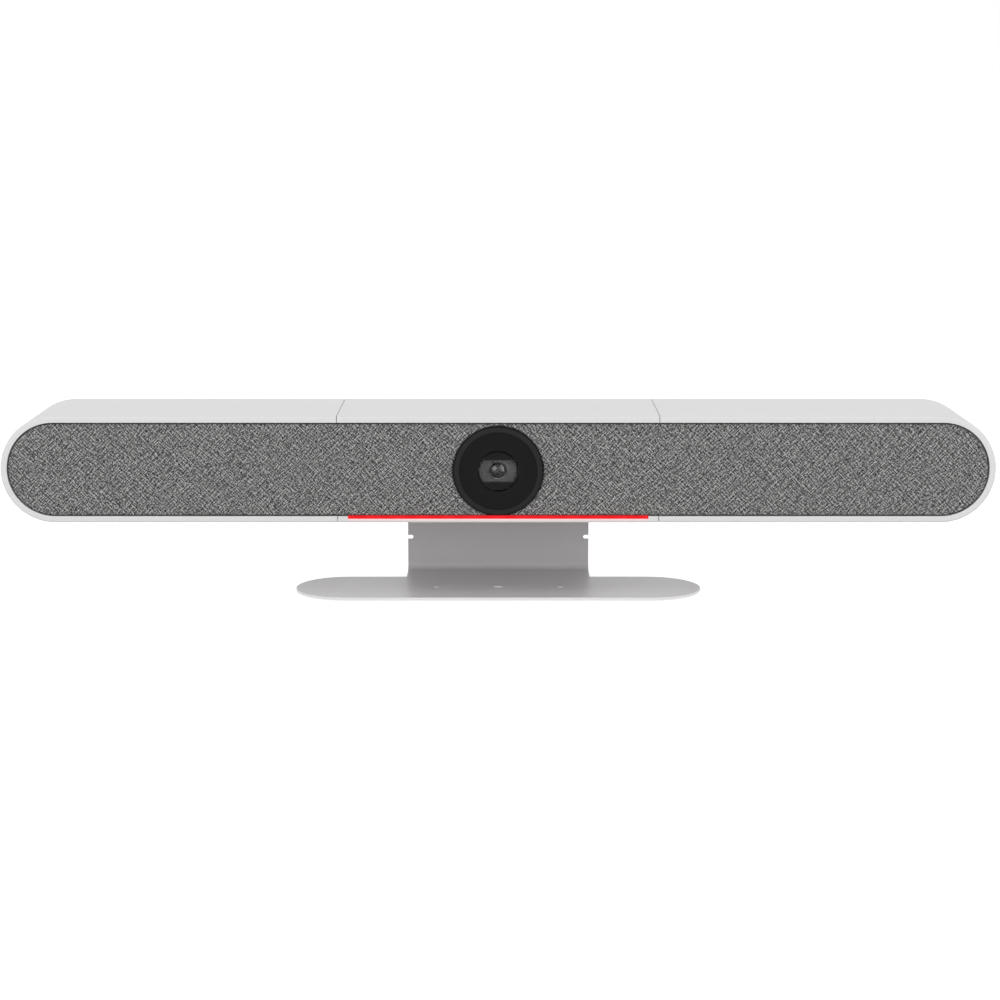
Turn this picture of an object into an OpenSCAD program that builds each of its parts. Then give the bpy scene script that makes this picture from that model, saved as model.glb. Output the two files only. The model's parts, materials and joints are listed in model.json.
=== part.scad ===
// Conference camera bar on a bent sheet-metal table stand.
// X runs along the bar, the lens faces -Y, Z is up from the underside of the rubber feet.
// Pieces of the bar are drawn from the middle of its front rim, with Y as the depth behind that rim
// and Z as the height from the bar's axis.

/* [Bar] */
// Length over the round ends
bar_l = 600; // [480:10:760]
// Height of the bar, which is the diameter of its round ends
bar_h = 65; // [62:1:72]
// Depth from the front rim to the rear wall
bar_d = 85; // [84:1:110]
// Thickness of the shell wall
wall = 2.5; // [1.8:0.1:3]
// Width of the front rim round the cloth
rim = 4; // [3.4:0.1:5]
// How deep the thick front rim runs
lip_depth = 5; // [4.8:0.1:7]
// Rounding of the front outer edge
edge_front_r = 1.5; // [0.6:0.1:2]
// Rounding of the rear outer edge
edge_rear_r = 3; // [1:0.5:6]
// Small chamfer of the rim beside the cloth
rim_chamfer = 0.2; // [0.2:0.1:1]
// Distance of each seam from the middle of the bar
seam_x = 97; // [96:0.2:98]
// Gap left at a seam
seam_gap = 0.4; // [0.2:0.1:1]
// Thickness of the sleeve that backs a seam
sleeve_t = 1.5; // [1:0.1:1.6]
// Reach of the sleeve on each side of a seam
sleeve_reach = 4; // [2:0.5:4.5]

/* [Cloth and front frame] */
// Thickness of the cloth
cloth_t = 0.8; // [0.5:0.1:1]
// How far the cloth lies behind the front of the rim
cloth_recess = 0.8; // [0.4:0.1:1.2]
// Gap between the cloth and the rim
cloth_gap = 0.3; // [0.2:0.05:0.5]
// Thickness of the front frame
frame_t = 2.4; // [1.8:0.1:2.6]
// Radius of a post that takes a housing screw
post_r = 3.5; // [2.8:0.1:3.6]

/* [Lens] */
// Radius of the lens ring
ring_r = 27.2; // [26:0.1:27.2]
// Radius of the flat face of the lens ring, inside its bevel
ring_face_r = 23.4; // [23:0.1:24.5]
// How far the ring's face stands out from the rim
ring_proud = 1; // [0.6:0.1:3]
// How far the ring's axis lies under the bar's axis
ring_drop = 0.8; // [0:0.1:0.8]
// Radius of the ring's body behind the cloth
ring_body_r = 22.8; // [21.5:0.1:23]
// Wall of the ring's body
ring_body_wall = 2.3; // [1.6:0.1:2.4]
// How far the ring's body reaches behind the rim
ring_depth = 14; // [13:0.5:16]
// Radius of the lens window in the ring
window_r = 12.1; // [11.5:0.1:12.6]
// Thickness of the cover glass
glass_t = 1; // [0.8:0.1:1.4]
// Depth of the cover glass behind the rim
glass_seat = 0.3; // [0:0.1:0.5]
// Height of the clear band between the baffle's caps
band_h = 13.4; // [11:0.2:16]
// Thickness of the baffle
baffle_t = 0.8; // [0.5:0.1:1]
// Radius of the front lens element
element_r = 4.6; // [4:0.1:5.2]
// Radius to which the front element's outer face is curved
element_curve_r = 6.5; // [6:0.1:9]
// Radius of the lens barrel's head, the grey plate behind the window
barrel_r = 11.9; // [11:0.1:12]

/* [Light bar] */
// Length of the light bar
light_l = 181.5; // [120:0.5:182]
// Height of the light bar's front edge
light_h = 1.5; // [1:0.1:2]

/* [Loudspeakers] */
// Radius of the speaker basket's flange
speaker_r = 25; // [24:0.5:25.4]
// Length of a speaker box along the bar
speaker_box_l = 90; // [70:2:92]
// Travel of a cone each way
cone_travel = 1.5; // [0.5:0.1:1.6]

/* [Port bay] */
// Length of the port bay
bay_l = 112; // [111:1:118]
// Height of the port bay
bay_h = 28; // [26:0.5:34]
// Depth of the port bay
bay_depth = 11; // [8:0.5:11.5]
// Travel of the pairing button
button_travel = 0.8; // [0.4:0.1:1]

/* [Stand] */
// Thickness of the stand's metal sheet
sheet_t = 1.5; // [1.5:0.1:3]
// Length of the base plate over its round ends
plate_l = 250; // [230:5:320]
// Depth of the base plate
plate_d = 63; // [58:1:66]
// How far the base plate reaches in front of the rim
plate_lead = 2.8; // [0:0.2:8]
// Clear height between the base plate and the bar
clearance_h = 45.5; // [35:0.5:80]
// Width of the neck and of the tongue that joins it to the plate
neck_w = 115.8; // [112:0.2:116]
// Height of the neck's top above the bar's axis
neck_top = 22; // [18:0.5:26]
// Inside radius of the bend between tongue and neck
bend_r = 4; // [2:0.5:8]
// Depth of the small notch in each side of the neck
notch_depth = 3.4; // [1:0.2:6]
// Height of that notch
notch_h = 2.4; // [2:0.1:5]
// Height of the notch's middle above the base plate
notch_z = 20.8; // [12:0.2:30]
// Diameter of the base plate's middle hole
plate_hole_d = 5.5; // [4:0.1:8]
// Diameter of the two small holes in the base plate
side_hole_d = 3.2; // [2.5:0.1:5]
// Distance between those two small holes
side_hole_gap = 77; // [60:1:100]
// Thickness of a rubber foot
foot_t = 1; // [0.6:0.1:3]
// Radius of a rubber foot
foot_r = 8; // [5:0.5:9]

/* [Hidden] */
$fn = 64;

// Overrun of every cut past the face it opens
cut = 1;
// Radial clearance of a screw or stem in its bore, and of a part in its pocket
bore_gap = 0.05;
fit_gap = 0.15;
// The bar's outline: radius of its ends, half length of its straight part, and the inside of its wall
end_r = bar_h / 2;
half_l = bar_l / 2 - end_r;
inner_r = end_r - wall;
rear_in = bar_d - wall;
opening_r = end_r - rim;
// Cloth and frame
cloth_r = opening_r - cloth_gap;
frame_r = cloth_r - cloth_t;
frame_y = cloth_recess + cloth_t;
frame_back = frame_y + frame_t;
// Places in the part's own frame
shaft_m4_r = 2;
head_m4_r = 3.8;
head_m4_h = 2.4;
stand_rear = bar_d + sheet_t + head_m4_h;
y_mid = (stand_rear - plate_lead) / 2;
plate_z = foot_t;
plate_top = plate_z + sheet_t;
bar_z = plate_top + clearance_h + end_r;
plate_y = plate_d / 2 - plate_lead;
// Housing screws and their posts, as places along the bar and on its height
screw_r = 1.5;
screw_l = 9;
screw_head_r = 3;
screw_head_h = 1.7;
post_drop = inner_r / 3 * 2;
post_xs = [seam_x - 3.2 * post_r, seam_x + 3.2 * post_r, half_l + 4 * post_r];
post_places = [for (s = [-1, 1]) for (i = [0:2]) [s * post_xs[i], i < 2 ? -post_drop : 0]];
post_bore = screw_l - wall + cut;
// Camera, measured behind the rim
face_y = -ring_proud;
glass_r = window_r + glass_t / 2;
ring_back = glass_seat + 2.2 * glass_t;
frame_hole_r = ring_body_r + fit_gap;
cloth_hole_r = frame_hole_r + cloth_t / 2;
baffle_gap = baffle_t / 2;
element_y = glass_seat + 1.5 * glass_t;
element_sag = element_curve_r - sqrt(pow(element_curve_r, 2) - pow(element_r, 2));
element_t = 1.4;
element_back = element_y + element_sag + element_t;
barrel_y = ring_back + bore_gap;
barrel_head_t = 2;
thread_r = 8;
barrel_back = 20;
rear_r = 6;
rear_y = 12;
rear_t = 3;
holder_r = 10;
holder_y = 11;
holder_w = 26;
holder_base = 4;
board_t = 1.6;
sensor_board_t = 1.2;
sensor_board_w = 34;
sensor_board_y = barrel_back + 2;
sensor_w = 11;
sensor_h = 9;
sensor_t = 1.4;
camera_plate_t = 1.5;
camera_plate_w = 54;
camera_plate_h = 43;
camera_boss_r = 2.5;
camera_boss = 13.5;
camera_screw_r = 1;
camera_screw_l = 7;
camera_head_r = 1.9;
camera_head_h = 1.3;
// Light bar and its board
light_z = -opening_r - light_h;
light_d = 10.5;
chip_d = 1;
chip_w = 3;
chip_count = 12;
light_board_t = 1.2;
light_board_h = 5.5;
// Loudspeakers, measured behind the frame
speaker_x = (post_xs[1] + post_xs[2]) / 2;
gasket_t = 0.8;
gasket_w = 3.5;
flange_y = frame_back + gasket_t;
flange_t = 1.4;
basket_depth = 18;
basket_y = flange_y + basket_depth;
magnet_r = 16;
magnet_t = 12;
basket_wall = 1.2;
basket_top_r = 21.8;
surround_in_r = 18.6;
surround_t = 0.6;
surround_y = flange_y + flange_t / 2 + cone_travel;
surround_back = surround_y + surround_t;
cone_t = 0.7;
cone_depth = 8;
cap_r = 8;
cap_h = 3;
coil_r = 7.4;
coil_t = 0.6;
coil_l = 12;
gap_in_r = coil_r - coil_t - 0.6;
gap_out_r = coil_r + 0.6;
spider_t = 0.6;
spider_depth = 14;
spider_y = flange_y + spider_depth;
spider_r = basket_top_r - spider_t + (magnet_r - basket_wall - basket_top_r)
    * (spider_y - surround_back) / (basket_y - flange_t - surround_back);
box_wall = 1.6;
magnet_gap = 1;
box_depth = basket_y + magnet_t + magnet_gap + box_wall - frame_back;
box_half_h = frame_r - bore_gap;
slot_h = 2.6;
slot_pitch = 5;
slot_count = 9;
// Microphones
mic_board_t = 1.2;
mic_board_x = 36;
mic_board_gap = 7;
mic_board_l = speaker_x - speaker_box_l / 2 - mic_board_gap - mic_board_x;
mic_board_h = 8;
mic_z = frame_r * 0.73;
mic_count = 4;
mic_w = 4;
mic_h = 3;
mic_t = 1.1;
mic_hole_r = 0.8;
// Main board
main_l = 152;
main_h = 50;
standoff_r = 3;
standoff_l = 31;
standoff_x = main_l * 0.4;
standoff_z = main_h / 2 - 1.3 * standoff_r;
main_back = rear_in - standoff_l;
main_y = main_back - board_t;
post_clear = 1;
board_screw_l = 6;
board_head_r = 2.8;
board_head_h = 1.6;
processor_w = 28;
processor_t = 2.2;
pad_t = 0.6;
sink_w = 56;
sink_h = 44;
sink_base = 3;
sink_d = 19;
fin_t = 1.6;
fin_count = 9;
sink_y = main_back + processor_t + pad_t;
antenna_l = 22;
antenna_w = 9;
antenna_t = 0.8;
// Port bay and what is in it, measured from the panel's outer face
bay_x = (seam_x + sleeve_reach + post_xs[2] - post_r) / 2;
bay_wall = 2;
bay_r = 3;
panel_t = 2;
panel_y = bar_d - bay_depth;
panel_in = panel_y - panel_t;
port_floor = -8;
port_board_gap = 4;
port_board_l = bay_l - 2 * port_board_gap;
port_board_d = 20;
port_wall = 0.5;
// Ports: place along the bay from its middle, width, height and depth
power_port = [-46.5, 9, 11, 14];
usb_c_spec = [-33, 9.6, 3.8, 8];
usb_a_spec = [-18, 14.5, 7, 14];
hdmi_spec = [0, 15.4, 6.4, 12];
network_spec = [20, 16, 13.6, 20];
audio_spec = [36, 7, 6.4, 12];
button_place = 47;
power_bore_r = 3.2;
power_bore = 10;
power_pin_r = 1;
audio_bore_r = 1.8;
audio_bore = 11;
network_open_w = 11.8;
network_open_h = 8.2;
network_open_d = 15;
latch_w = 6;
latch_h = 2.6;
tongue_t = 1.2;
button_r = 2.4;
button_z = port_floor + 5;
button_proud = 1.2;
button_flange_r = 3.2;
button_flange_t = 1.1;
stem_r = 1.2;
stem_l = 4;
switch_w = 6.5;
switch_d = 5.5;
switch_h = 8.5;
switch_gap = 2.8;
// Rear vents beside the neck
vent_w = 2;
vent_h = 32;
vent_pitch = 4;
vent_count = 7;
vent_x = neck_w / 2 + 3 * vent_w;
// Stand
neck_screw_x = 37.5;
neck_screw_z = [12.5, -22.5];
neck_hole_r = 2.2;
neck_boss_r = 4;
neck_boss_l = 10;
neck_screw_l = 11;
neck_corner_r = 8;
socket_r = 1.6;
foot_places = [[plate_l * 0.38, plate_y - plate_d / 4], [plate_l * 0.38, plate_y + plate_d / 4],
    [neck_w * 0.4, bar_d - bend_r - foot_r - sheet_t]];

function arc(c, r, a0, a1, n) = [for (i = [0:n]) [c[0] + r * cos(a0 + (a1 - a0) * i / n),
    c[1] + r * sin(a0 + (a1 - a0) * i / n)]];
function mirrored(points) = [for (i = [len(points) - 1:-1:0]) [-points[i][0], points[i][1]]];

// Outline of the shell's wall from the rim's inner edge round to the rear: distance from the axis, depth
shell_outer = concat([[opening_r, lip_depth], [opening_r, rim_chamfer], [opening_r + rim_chamfer, 0]],
    arc([end_r - edge_front_r, edge_front_r], edge_front_r, -90, 0, 6),
    arc([end_r - edge_rear_r, bar_d - edge_rear_r], edge_rear_r, 0, 90, 8));
shell_inner = [[inner_r, rear_in], [inner_r, lip_depth]];
shell_half = concat(shell_outer, [[0, bar_d], [0, rear_in]], shell_inner);
shell_full = concat(shell_outer, mirrored(shell_outer), mirrored(shell_inner), shell_inner);

module in_bar() {
    translate([0, -y_mid, bar_z])
        children();
}

// Turns a shape drawn up Z so that it runs to the rear from a place in the bar
module rearward(place) {
    translate(place)
        rotate([-90, 0, 0])
            children();
}

module disc(place, r, t) {
    rearward(place)
        cylinder(r = r, h = t);
}

module box(center, size) {
    translate([center[0] - size[0] / 2, center[1], center[2] - size[2] / 2])
        cube(size);
}

module stadium(half, r, y, t) {
    box([0, y, 0], [2 * half, t, 2 * r]);
    for (s = [-1, 1])
        disc([s * half, y, 0], r, t);
}

module round_rect(w, h, r) {
    square([w - 2 * r, h], center = true);
    square([w, h - 2 * r], center = true);
    for (x = [-1, 1], y = [-1, 1])
        translate([x * (w / 2 - r), y * (h / 2 - r)])
            circle(r = r);
}

// Slot with round ends, its length along Y
module slot_2d(w, h) {
    square([w, h - w], center = true);
    for (s = [-1, 1])
        translate([0, s * (h - w) / 2])
            circle(d = w);
}

module round_block(center, w, h, r, t) {
    rearward(center)
        linear_extrude(height = t)
            round_rect(w, h, r);
}

// Straight stretch of the shell from x0 to x1
module shell_run(x0, x1) {
    translate([x1, 0, 0])
        rotate([0, -90, 0])
            linear_extrude(height = x1 - x0)
                polygon(shell_full);
}

// Round end of the shell: side is -1 for left and 1 for right
module shell_end(side) {
    rearward([side * half_l, 0, 0])
        rotate([0, 0, -side * 90])
            rotate_extrude(angle = 180)
                polygon(shell_half);
}

module screw_cut(place) {
    disc([place[0], rear_in - cut, place[1]], screw_r + bore_gap, wall + 2 * cut);
    rearward([place[0], bar_d - screw_head_h, place[1]])
        cylinder(r1 = screw_r + bore_gap, r2 = screw_head_r + bore_gap, h = screw_head_h + bore_gap);
}

module end_shell(side) {
    difference() {
        union() {
            shell_run(side < 0 ? -half_l : seam_x + seam_gap / 2, side < 0 ? -seam_x - seam_gap / 2 : half_l);
            shell_end(side);
        }
        for (p = post_places)
            if (side * p[0] > seam_x)
                screw_cut(p);
    }
}

module left_shell() {
    color("#e2e2e1")
        in_bar()
            end_shell(-1);
}

module bay_cut(grow, y, t) {
    round_block([bay_x, y, 0], bay_l + 2 * grow, bay_h + 2 * grow, bay_r + grow, t);
}

module right_shell() {
    color("#e2e2e1")
        in_bar()
            difference() {
                union() {
                    end_shell(1);
                    bay_cut(bay_wall, panel_in, bay_depth + panel_t - wall / 2);
                }
                bay_cut(0, panel_in - cut, bay_depth + panel_t + 2 * cut);
            }
}

module seam_sleeve(side) {
    difference() {
        box([side * seam_x, lip_depth + fit_gap, 0],
            [2 * sleeve_reach, rear_in - lip_depth - fit_gap, 2 * inner_r]);
        box([side * seam_x, lip_depth - cut, 0],
            [2 * sleeve_reach + 2 * cut, rear_in - lip_depth - sleeve_t + cut, 2 * (inner_r - sleeve_t)]);
    }
}

module center_shell() {
    color("#e2e2e1")
        in_bar()
            difference() {
                union() {
                    shell_run(-seam_x + seam_gap / 2, seam_x - seam_gap / 2);
                    for (s = [-1, 1])
                        seam_sleeve(s);
                    for (x = [-1, 1], z = [-1, 1])
                        disc([x * standoff_x, main_back, z * standoff_z], standoff_r,
                            standoff_l + bore_gap);
                    for (x = [-1, 1], z = neck_screw_z)
                        disc([x * neck_screw_x, rear_in - neck_boss_l, z], neck_boss_r,
                            neck_boss_l + bore_gap);
                }
                box([0, -cut, light_z + light_h / 2], [light_l + 2 * bore_gap, lip_depth + 2 * cut, light_h]);
                for (p = post_places)
                    if (abs(p[0]) < seam_x)
                        screw_cut(p);
                for (x = [-1, 1], z = [-1, 1])
                    disc([x * standoff_x, main_back - cut, z * standoff_z], screw_r + bore_gap,
                        board_screw_l + cut);
                for (x = [-1, 1], z = neck_screw_z)
                    disc([x * neck_screw_x, bar_d - neck_screw_l, z], shaft_m4_r + bore_gap,
                        neck_screw_l + cut);
                for (s = [-1, 1], i = [0:vent_count - 1])
                    rearward([s * (vent_x + i * vent_pitch), rear_in - cut, 0])
                        linear_extrude(height = wall + 2 * cut)
                            slot_2d(vent_w, vent_h);
            }
}

module grille_frame() {
    color("#3a3a3c")
        in_bar()
            difference() {
                stadium(half_l, frame_r, frame_y, frame_t);
                disc([0, frame_y - cut, -ring_drop], frame_hole_r, frame_t + 2 * cut);
                for (s = [-1, 1], i = [0:slot_count - 1]) {
                    z = (i - (slot_count - 1) / 2) * slot_pitch;
                    box([s * speaker_x, frame_y - cut, z],
                        [2 * sqrt(pow(basket_top_r, 2) - z * z), frame_t + 2 * cut, slot_h]);
                }
                mic_holes(frame_y - cut, frame_t + 2 * cut);
            }
}

module mic_holes(y, t) {
    for (p = mic_places())
        disc([p, y, mic_z], mic_hole_r, t);
}

function mic_places() = [for (s = [-1, 1]) for (i = [0:mic_count - 1])
    s * (mic_board_x + mic_board_l * (i + 0.5) / mic_count)];

module frame_posts() {
    color("#3a3a3c")
        in_bar()
            for (p = post_places)
                difference() {
                    disc([p[0], frame_back, p[1]], post_r, rear_in - frame_back);
                    disc([p[0], rear_in - post_bore, p[1]], screw_r + bore_gap, post_bore + cut);
                }
}

module grille_cloth() {
    color("#747474")
        in_bar()
            difference() {
                stadium(half_l, cloth_r, cloth_recess, cloth_t + frame_t);
                stadium(half_l, frame_r, frame_y, frame_t + cut);
                disc([0, cloth_recess - cut, -ring_drop], cloth_hole_r, cloth_t + 2 * cut);
            }
}

module housing_screws() {
    color("#b8b8ba")
        in_bar()
            for (p = post_places)
                rearward([p[0], bar_d - screw_l, p[1]])
                    difference() {
                        union() {
                            cylinder(r = screw_r, h = screw_l - screw_head_h / 2);
                            translate([0, 0, screw_l - screw_head_h])
                                cylinder(r1 = screw_r, r2 = screw_head_r, h = screw_head_h);
                        }
                        translate([0, 0, screw_l - screw_head_h * 0.7])
                            cylinder(r = screw_r * 0.8, h = screw_head_h, $fn = 6);
                    }
}

// Distance from the lens axis and depth, revolved round the lens axis
module lens_turned(points) {
    rearward([0, 0, -ring_drop])
        rotate_extrude()
            polygon(points);
}

module lens_ring() {
    color("#232323")
        in_bar()
            difference() {
                union() {
                    lens_turned([[window_r, face_y], [ring_face_r, face_y], [ring_r - fit_gap, 0],
                        [ring_r, fit_gap], [ring_r, cloth_recess], [ring_body_r, cloth_recess],
                        [ring_body_r, ring_depth], [ring_body_r - ring_body_wall, ring_depth],
                        [ring_body_r - ring_body_wall, ring_back], [glass_r + bore_gap, ring_back],
                        [glass_r + bore_gap, glass_seat], [window_r, glass_seat]]);
                    for (x = [-1, 1], z = [-1, 1])
                        disc([x * camera_boss, ring_back - bore_gap, z * camera_boss - ring_drop],
                            camera_boss_r, ring_depth - ring_back + bore_gap);
                }
                for (x = [-1, 1], z = [-1, 1])
                    disc([x * camera_boss, ring_depth - camera_screw_l, z * camera_boss - ring_drop],
                        camera_screw_r + bore_gap, camera_screw_l + cut);
            }
}

module lens_baffle() {
    baffle_r = window_r - baffle_gap;
    y = glass_seat - baffle_t;
    color("#2b2b2b")
        in_bar()
            difference() {
                disc([0, y, -ring_drop], baffle_r, baffle_t);
                intersection() {
                    disc([0, y - cut, -ring_drop], baffle_r - baffle_gap, baffle_t + 2 * cut);
                    box([0, y - cut, -ring_drop], [2 * baffle_r, baffle_t + 2 * cut, band_h]);
                }
            }
}

module cover_glass() {
    color("#55585a", 0.5)
        in_bar()
            disc([0, glass_seat, -ring_drop], glass_r, glass_t);
}

module front_element() {
    color("#6f7478", 0.6)
        in_bar()
            intersection() {
                translate([0, element_y + element_curve_r, -ring_drop])
                    sphere(r = element_curve_r);
                disc([0, element_y - cut, -ring_drop], element_r, element_back - element_y + cut);
            }
}

module lens_barrel() {
    color("#1c1c1e")
        in_bar()
            lens_turned([[element_r + element_t / 2, barrel_y], [barrel_r, barrel_y],
                [barrel_r, barrel_y + barrel_head_t], [thread_r, barrel_y + barrel_head_t],
                [thread_r, barrel_back], [rear_r + bore_gap, barrel_back],
                [rear_r + bore_gap, rear_y], [rear_r - element_t / 2, rear_y],
                [element_r - element_t / 2, element_back], [element_r + bore_gap, element_back],
                [element_r + bore_gap, element_back - element_t]]);
}

module rear_element() {
    color("#6f7478", 0.6)
        in_bar()
            disc([0, rear_y, -ring_drop], rear_r, rear_t);
}

module lens_holder() {
    color("#262628")
        in_bar()
            difference() {
                union() {
                    disc([0, holder_y, -ring_drop], holder_r, barrel_back - holder_y);
                    box([0, sensor_board_y - holder_base, -ring_drop], [holder_w, holder_base, holder_w]);
                }
                disc([0, holder_y - cut, -ring_drop], thread_r + bore_gap,
                    sensor_board_y - holder_y + 2 * cut);
            }
}

module image_sensor() {
    color("#3c4a52")
        in_bar()
            box([0, sensor_board_y - sensor_t, -ring_drop], [sensor_w, sensor_t, sensor_h]);
}

module sensor_board() {
    color("#1f5c38")
        in_bar()
            box([0, sensor_board_y, -ring_drop], [sensor_board_w, sensor_board_t, sensor_board_w]);
}

module camera_plate() {
    color("#b4b6b8")
        in_bar()
            difference() {
                box([0, ring_depth, -ring_drop], [camera_plate_w, camera_plate_t, camera_plate_h]);
                disc([0, ring_depth - cut, -ring_drop], holder_r + bore_gap, camera_plate_t + 2 * cut);
                for (x = [-1, 1], z = [-1, 1])
                    disc([x * camera_boss, ring_depth - cut, z * camera_boss - ring_drop],
                        camera_screw_r + bore_gap, camera_plate_t + 2 * cut);
            }
}

module camera_screws() {
    color("#b8b8ba")
        in_bar()
            for (x = [-1, 1], z = [-1, 1])
                translate([x * camera_boss, 0, z * camera_boss - ring_drop]) {
                    disc([0, ring_depth + camera_plate_t, 0], camera_head_r, camera_head_h);
                    disc([0, ring_depth - camera_screw_l + cut, 0], camera_screw_r,
                        camera_screw_l - cut + camera_plate_t + bore_gap);
                }
}

// Flat cable from the sensor board to the main board, with a slack wave. Its ends reach into the plugs.
module camera_ribbon() {
    ribbon_w = 12;
    ribbon_t = 0.3;
    plug_d = 1.8;
    wave = 5;
    low = -sensor_board_w / 2 + 2 * plug_d - ring_drop;
    y0 = sensor_board_y + sensor_board_t;
    run = main_y - y0 - plug_d;
    steps = 16;
    edge = [for (i = [0:steps]) [y0 + plug_d / 2 + run * i / steps,
        low + wave * (1 - cos(360 * i / steps)) / 2]];
    color("#d8a03a")
        in_bar() {
            for (y = [y0, main_y - plug_d])
                box([0, y, low], [ribbon_w + plug_d, plug_d, plug_d]);
            translate([-ribbon_w / 2, 0, 0])
                rotate([90, 0, 90])
                    linear_extrude(height = ribbon_w)
                        polygon(concat([for (p = edge) [p[0], p[1] - ribbon_t / 2]],
                            [for (i = [steps:-1:0]) [edge[i][0], edge[i][1] + ribbon_t / 2]]));
        }
}

module light_bar() {
    color("#f02228")
        in_bar()
            box([0, 0, light_z + light_h / 2], [light_l, light_d, light_h]);
}

module light_chips() {
    color("#f4e6a8")
        in_bar()
            for (i = [0:chip_count - 1])
                box([light_l * ((i + 0.5) / chip_count - 0.5), light_d, light_z + light_h / 2],
                    [chip_w, chip_d, light_h]);
}

module light_board() {
    color("#1f5c38")
        in_bar()
            box([0, light_d + chip_d, light_board_h / 2 - inner_r],
                [light_l, light_board_t, light_board_h]);
}

module speaker_gaskets() {
    color("#2a2a2a")
        in_bar()
            for (s = [-1, 1])
                difference() {
                    disc([s * speaker_x, frame_back, 0], speaker_r, gasket_t);
                    disc([s * speaker_x, frame_back - cut, 0], speaker_r - gasket_w, gasket_t + 2 * cut);
                }
}

// Distance from a loudspeaker's axis and depth, revolved round that axis
module speaker_turned(side, points) {
    rearward([side * speaker_x, 0, 0])
        rotate_extrude()
            polygon(points);
}

module speaker_basket(side) {
    color("#3c3d40")
        in_bar()
            difference() {
                speaker_turned(side, [[basket_top_r, flange_y], [speaker_r, flange_y],
                    [speaker_r, flange_y + flange_t], [basket_top_r + basket_wall, flange_y + flange_t],
                    [basket_top_r + basket_wall, surround_back], [magnet_r, basket_y - flange_t],
                    [magnet_r, basket_y], [gap_out_r, basket_y], [gap_out_r, basket_y - flange_t],
                    [magnet_r - basket_wall, basket_y - flange_t], [basket_top_r, surround_back]]);
                for (a = [0:90:270])
                    rearward([side * speaker_x, 0, 0])
                        rotate([0, 0, a + 45])
                            translate([magnet_r + 2 * basket_wall, -magnet_r / 3, flange_y + 3 * flange_t])
                                cube([magnet_r, magnet_r / 1.5, basket_y - flange_y - 5.5 * flange_t]);
            }
}

module speaker_magnet(side) {
    plate_t = magnet_t / 4;
    back = basket_y + magnet_t;
    color("#55565a")
        in_bar()
            speaker_turned(side, [[gap_out_r, basket_y], [magnet_r, basket_y], [magnet_r, back], [0, back],
                [0, basket_y], [gap_in_r, basket_y], [gap_in_r, back - plate_t],
                [gap_out_r + plate_t, back - plate_t], [gap_out_r + plate_t, basket_y + plate_t],
                [gap_out_r, basket_y + plate_t]]);
}

// Cone, dust cap and coil former in one turned profile
module speaker_cone(side) {
    neck_y = surround_y + cone_depth;
    cap = arc([0, neck_y - cone_t], cap_r, 0, 90, 6);
    color("#4a4d52")
        in_bar()
            speaker_turned(side, concat([[surround_in_r, surround_y]],
                [for (p = cap) [p[0], neck_y - cone_t - (p[1] - neck_y + cone_t) * cap_h / cap_r]],
                [for (i = [6:-1:0]) [cap[i][0] * (coil_r - coil_t) / cap_r,
                    neck_y - (cap[i][1] - neck_y + cone_t) * cap_h / cap_r]],
                [[coil_r - coil_t, neck_y + coil_l], [coil_r, neck_y + coil_l], [coil_r, neck_y + cone_t],
                    [cap_r + cone_t, neck_y + cone_t], [surround_in_r, surround_y + 2 * cone_t]]));
}

module speaker_surround(side) {
    in_r = surround_in_r + bore_gap;
    out_r = basket_top_r - bore_gap;
    mid = (in_r + out_r) / 2;
    roll = (out_r - in_r - surround_t) / 2;
    color("#242426")
        in_bar()
            speaker_turned(side, concat(
                [[out_r, surround_y], [out_r, surround_back]],
                arc([mid, surround_back], roll, 0, 180, 8),
                [[in_r, surround_back], [in_r, surround_y]],
                arc([mid, surround_y], roll - surround_t / 2, 180, 0, 8)));
}

module speaker_spider(side) {
    color("#c9a45a")
        in_bar()
            speaker_turned(side, [[coil_r + bore_gap, spider_y], [spider_r, spider_y],
                [spider_r, spider_y + spider_t], [coil_r + bore_gap, spider_y + spider_t]]);
}

module speaker_box(side) {
    color("#2e2e30")
        in_bar()
            difference() {
                box([side * speaker_x, frame_back, 0], [speaker_box_l, box_depth, 2 * box_half_h]);
                box([side * speaker_x, frame_back - cut, 0],
                    [speaker_box_l - 2 * box_wall, box_depth - box_wall + cut, 2 * (box_half_h - box_wall)]);
            }
}

module speaker_basket_left() speaker_basket(-1);
module speaker_magnet_left() speaker_magnet(-1);
module speaker_cone_left() speaker_cone(-1);
module speaker_surround_left() speaker_surround(-1);
module speaker_spider_left() speaker_spider(-1);
module speaker_box_left() speaker_box(-1);
module speaker_basket_right() speaker_basket(1);
module speaker_magnet_right() speaker_magnet(1);
module speaker_cone_right() speaker_cone(1);
module speaker_surround_right() speaker_surround(1);
module speaker_spider_right() speaker_spider(1);
module speaker_box_right() speaker_box(1);

module microphone_boards() {
    color("#1f5c38")
        in_bar()
            difference() {
                for (s = [-1, 1])
                    box([s * (mic_board_x + mic_board_l / 2), frame_back, mic_z],
                        [mic_board_l, mic_board_t, mic_board_h]);
                mic_holes(frame_back - cut, mic_board_t + 2 * cut);
            }
}

module microphones() {
    color("#c9cacc")
        in_bar()
            for (x = mic_places())
                box([x, frame_back + mic_board_t, mic_z], [mic_w, mic_t, mic_h]);
}

module main_board() {
    color("#1f5c38")
        in_bar()
            difference() {
                box([0, main_y, 0], [main_l, board_t, main_h]);
                for (x = [-1, 1], z = [-1, 1])
                    disc([x * standoff_x, main_y - cut, z * standoff_z], screw_r + bore_gap,
                        board_t + 2 * cut);
                for (p = post_places)
                    disc([p[0], main_y - cut, p[1]], post_r + post_clear, board_t + 2 * cut);
            }
}

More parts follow.
